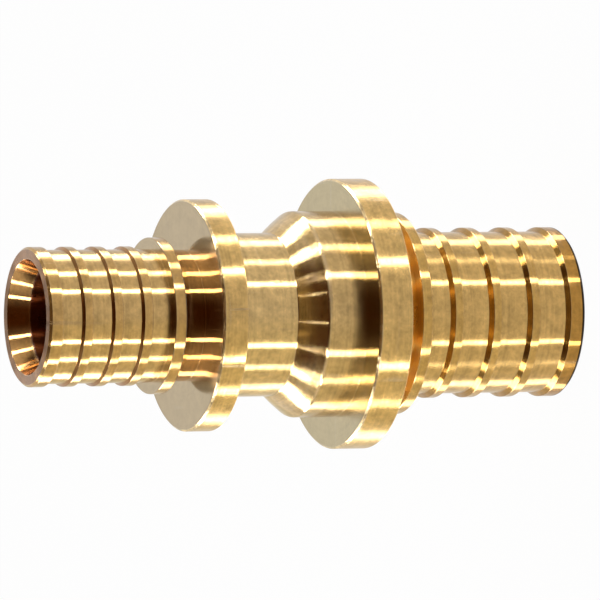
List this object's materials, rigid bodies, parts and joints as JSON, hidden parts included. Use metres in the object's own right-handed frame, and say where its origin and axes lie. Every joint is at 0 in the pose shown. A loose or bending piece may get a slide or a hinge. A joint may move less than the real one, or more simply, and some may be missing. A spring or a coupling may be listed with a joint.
{
  "type": "pex reducing coupling",
  "caption": "Straight brass coupling that joins a wider plastic pipe to a narrower one, with a ribbed spigot and a stop flange for each pipe.",
  "frame": {"origin": "centre of the large spigot's end face, which the coupling stands on", "axes": "+Z along the axis of turning, from the large spigot to the small one; +X and +Y are any two directions across it, because the part is the same all round"},
  "size_m": [0.0342, 0.0342, 0.0712],
  "materials": {
    "brass": "bright turned brass, polished, with fine turning marks"
  },
  "bodies": {
    "root": {"coupling_body": "brass"}
  },
  "joints": []
}
